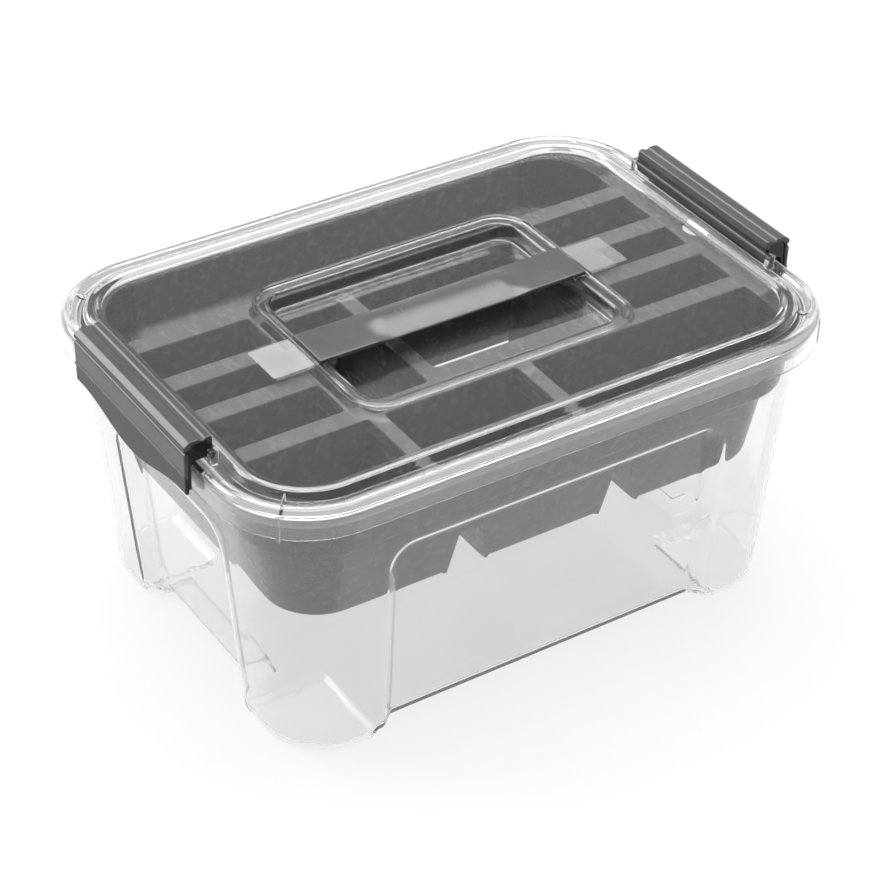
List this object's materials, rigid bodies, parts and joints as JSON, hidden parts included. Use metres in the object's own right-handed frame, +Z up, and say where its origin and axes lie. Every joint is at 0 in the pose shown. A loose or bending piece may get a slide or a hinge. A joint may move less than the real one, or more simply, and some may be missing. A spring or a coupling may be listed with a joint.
{
  "type": "toolbox with tray",
  "caption": "Clear storage box with clip-on lid, lift-out compartment tray, end clips and a recessed carry handle in the lid.",
  "frame": {"origin": "centre of the footprint, on the plane of the feet", "axes": "+X along the long side towards the right clip, +Y towards the back, +Z up out of the tub"},
  "size_m": [0.4158, 0.282, 0.203],
  "materials": {
    "clear_tub": "clear polished",
    "clear_lid": "clear polished",
    "smoke_tray_back_row": "smoked satin",
    "smoke_tray_front_left": "smoked satin",
    "smoke_tray_front_middle": "smoked satin",
    "smoke_tray_front_right": "smoked satin",
    "smoke_tray_left_cells": "smoked satin",
    "smoke_tray_right_cells": "smoked satin",
    "smoke_tray_middle_wells": "smoked satin",
    "smoke_grip": "smoked gloss",
    "smoke_tongue_left": "smoked satin",
    "smoke_tongue_right": "smoked satin",
    "smoke_clip_left": "smoked gloss",
    "smoke_clip_right": "smoked gloss"
  },
  "bodies": {
    "tub": {"tub": "clear_tub"},
    "lid": {"lid": "clear_lid"},
    "tray": {"tray_back_row": "smoke_tray_back_row", "tray_front_left": "smoke_tray_front_left", "tray_front_middle": "smoke_tray_front_middle", "tray_front_right": "smoke_tray_front_right", "tray_left_cells": "smoke_tray_left_cells", "tray_right_cells": "smoke_tray_right_cells", "tray_middle_wells": "smoke_tray_middle_wells"},
    "handle": {"handle_grip": "smoke_grip", "handle_tongue_left": "smoke_tongue_left", "handle_tongue_right": "smoke_tongue_right"},
    "clip_left": {"clip_left": "smoke_clip_left"},
    "clip_right": {"clip_right": "smoke_clip_right"}
  },
  "joints": [
    {"name": "lid_lift", "type": "slide", "parent": "tub", "child": "lid", "axis": [0, 0, 1], "range_m": [0, 0.3]},
    {"name": "tray_lift", "type": "slide", "parent": "tub", "child": "tray", "axis": [0, 0, 1], "range_m": [0, 0.15]},
    {"name": "handle_lift", "type": "slide", "parent": "lid", "child": "handle", "axis": [0, 0, 1], "range_m": [0, 0.022], "deforming": ["handle_tongue_left", "handle_tongue_right"]},
    {"name": "clip_left_swing", "type": "hinge", "parent": "lid", "child": "clip_left", "pos_m": [-0.1896, 0, 0.1928], "axis": [0, 1, 0], "range_deg": [0, 90]},
    {"name": "clip_right_swing", "type": "hinge", "parent": "lid", "child": "clip_right", "pos_m": [0.1896, 0, 0.1928], "axis": [0, -1, 0], "range_deg": [0, 90]}
  ],
  "couplings": [
    {"joint": "tray_lift", "follows": "lid_lift", "ratio": 0.5}
  ]
}
